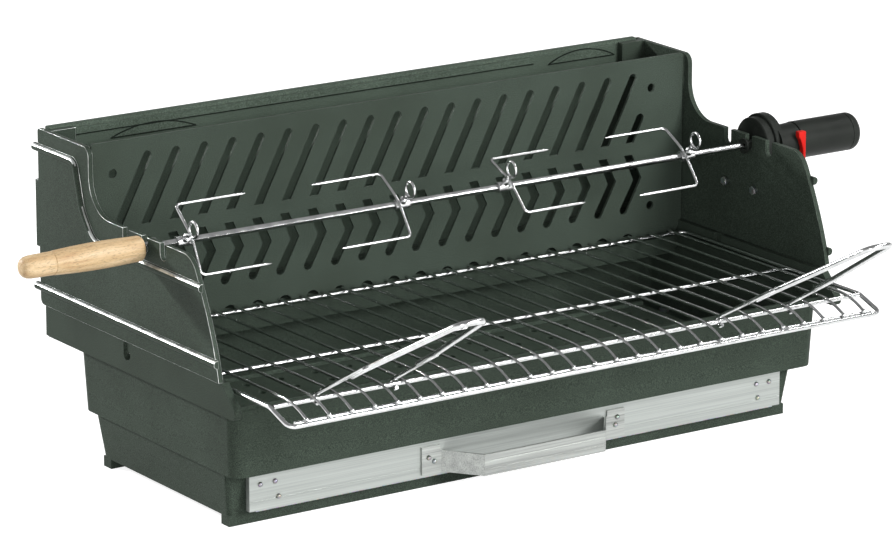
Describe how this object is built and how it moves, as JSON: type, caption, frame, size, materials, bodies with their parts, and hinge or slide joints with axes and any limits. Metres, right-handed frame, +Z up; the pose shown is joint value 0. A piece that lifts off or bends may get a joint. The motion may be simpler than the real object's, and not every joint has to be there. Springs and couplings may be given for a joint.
{
  "type": "built-in barbecue with spit",
  "caption": "Built-in cast-iron barbecue with a wire grill, an upright slotted fire basket, a four-fork spit with a battery motor and an ash drawer.",
  "frame": {"origin": "middle of the front foot's underside", "axes": "+X to the right as the cook sees it, +Y to the back, +Z up"},
  "size_m": [0.9763, 0.6009, 0.333],
  "materials": {
    "cast_iron": "fine-grained, painted with black stove enamel",
    "sooty_iron": "sooty",
    "zinc_steel": "zinc plated",
    "aluminium": "satin sheet",
    "chrome": "bright plated wire",
    "beech": "turned and lightly waxed",
    "black_plastic": "fine grain",
    "red_plastic": "smooth",
    "battery_label": "plain sleeve"
  },
  "bodies": {
    "hearth_unit": {"ash_box": "cast_iron", "hearth": "cast_iron", "hearth_bolts": "zinc_steel", "left_side_plate": "cast_iron", "right_side_plate": "cast_iron", "back_plate": "cast_iron", "back_plate_bolts": "zinc_steel", "motor_bracket": "zinc_steel", "bracket_screws": "zinc_steel", "motor_gearbox": "black_plastic", "battery_tube": "black_plastic", "battery_cell": "battery_label"},
    "fire_panel": {"fire_panel": "cast_iron"},
    "grate_left": {"charcoal_grate_left": "sooty_iron"},
    "grate_right": {"charcoal_grate_right": "sooty_iron"},
    "basket_grate": {"basket_grate": "sooty_iron"},
    "drawer": {"drawer_tray": "aluminium", "drawer_front": "aluminium", "drawer_handle": "aluminium", "drawer_rivets": "zinc_steel", "handle_rivets": "zinc_steel"},
    "grill": {"grill_frame": "chrome", "grill_rods": "chrome", "grill_wires": "chrome"},
    "handle_left": {"left_handle_hooks": "chrome", "left_handle_loop": "chrome"},
    "handle_right": {"right_handle_hooks": "chrome", "right_handle_loop": "chrome"},
    "spit": {"spit_rod": "chrome", "spit_ferrule": "chrome", "spit_grip": "beech"},
    "socket": {"drive_socket": "black_plastic"},
    "switch": {"motor_switch": "red_plastic"},
    "cap": {"battery_cap": "black_plastic"},
    "fork_a": {"spit_fork_a": "chrome"},
    "screw_a": {"fork_screw_a": "chrome"},
    "fork_b": {"spit_fork_b": "chrome"},
    "screw_b": {"fork_screw_b": "chrome"},
    "fork_c": {"spit_fork_c": "chrome"},
    "screw_c": {"fork_screw_c": "chrome"},
    "fork_d": {"spit_fork_d": "chrome"},
    "screw_d": {"fork_screw_d": "chrome"}
  },
  "joints": [
    {"name": "drawer_slide", "type": "slide", "parent": "hearth_unit", "child": "drawer", "axis": [0, -1, 0], "range_m": [0, 0.2]},
    {"name": "panel_lift", "type": "slide", "parent": "hearth_unit", "child": "fire_panel", "axis": [0, 0, 1], "range_m": [0, 0.19]},
    {"name": "grate_left_lift", "type": "slide", "parent": "hearth_unit", "child": "grate_left", "axis": [0, 0, 1], "range_m": [0, 0.04]},
    {"name": "grate_right_lift", "type": "slide", "parent": "hearth_unit", "child": "grate_right", "axis": [0, 0, 1], "range_m": [0, 0.04]},
    {"name": "basket_grate_lift", "type": "slide", "parent": "hearth_unit", "child": "basket_grate", "axis": [0, 0, 1], "range_m": [0, 0.1]},
    {"name": "grill_slide", "type": "slide", "parent": "hearth_unit", "child": "grill", "axis": [0, -1, 0], "range_m": [0, 0.12]},
    {"name": "handle_left_fold", "type": "hinge", "parent": "grill", "child": "handle_left", "pos_m": [-0.252, -0.108, 0.146], "axis": [-1, 0, 0], "range_deg": [-20, 55]},
    {"name": "handle_right_fold", "type": "hinge", "parent": "grill", "child": "handle_right", "pos_m": [0.213, -0.108, 0.146], "axis": [-1, 0, 0], "range_deg": [-20, 55]},
    {"name": "spit_spin", "type": "hinge", "parent": "hearth_unit", "child": "spit", "pos_m": [-0.355, 0.09, 0.256], "axis": [1, 0, 0], "continuous": true},
    {"name": "socket_spin", "type": "hinge", "parent": "hearth_unit", "child": "socket", "pos_m": [0.355, 0.09, 0.256], "axis": [1, 0, 0], "continuous": true},
    {"name": "switch_slide", "type": "slide", "parent": "hearth_unit", "child": "switch", "axis": [0, 0, 1], "range_m": [0, 0.004]},
    {"name": "cap_pull", "type": "slide", "parent": "hearth_unit", "child": "cap", "axis": [1, 0, 0], "range_m": [0, 0.03]},
    {"name": "fork_a_slide", "type": "slide", "parent": "spit", "child": "fork_a", "axis": [1, 0, 0], "range_m": [-0.014, 0.07]},
    {"name": "screw_a_turn", "type": "hinge", "parent": "fork_a", "child": "screw_a", "pos_m": [-0.317, 0.0837, 0.26093], "axis": [0, -0.788, 0.6157], "continuous": true},
    {"name": "fork_b_slide", "type": "slide", "parent": "spit", "child": "fork_b", "axis": [1, 0, 0], "range_m": [-0.08, 0.028]},
    {"name": "screw_b_turn", "type": "hinge", "parent": "fork_b", "child": "screw_b", "pos_m": [-0.07, 0.08454, 0.26185], "axis": [0, -0.682, 0.7314], "continuous": true},
    {"name": "fork_c_slide", "type": "slide", "parent": "spit", "child": "fork_c", "axis": [1, 0, 0], "range_m": [-0.028, 0.06]},
    {"name": "screw_c_turn", "type": "hinge", "parent": "fork_c", "child": "screw_c", "pos_m": [0.0515, 0.08564, 0.26271], "axis": [0, -0.5446, 0.8387], "continuous": true},
    {"name": "fork_d_slide", "type": "slide", "parent": "spit", "child": "fork_d", "axis": [1, 0, 0], "range_m": [-0.004, 0.036]},
    {"name": "screw_d_turn", "type": "hinge", "parent": "fork_d", "child": "screw_d", "pos_m": [0.275, 0.08497, 0.26222], "axis": [0, -0.6293, 0.7771], "continuous": true}
  ],
  "couplings": [
    {"joint": "socket_spin", "follows": "spit_spin", "ratio": 1}
  ]
}
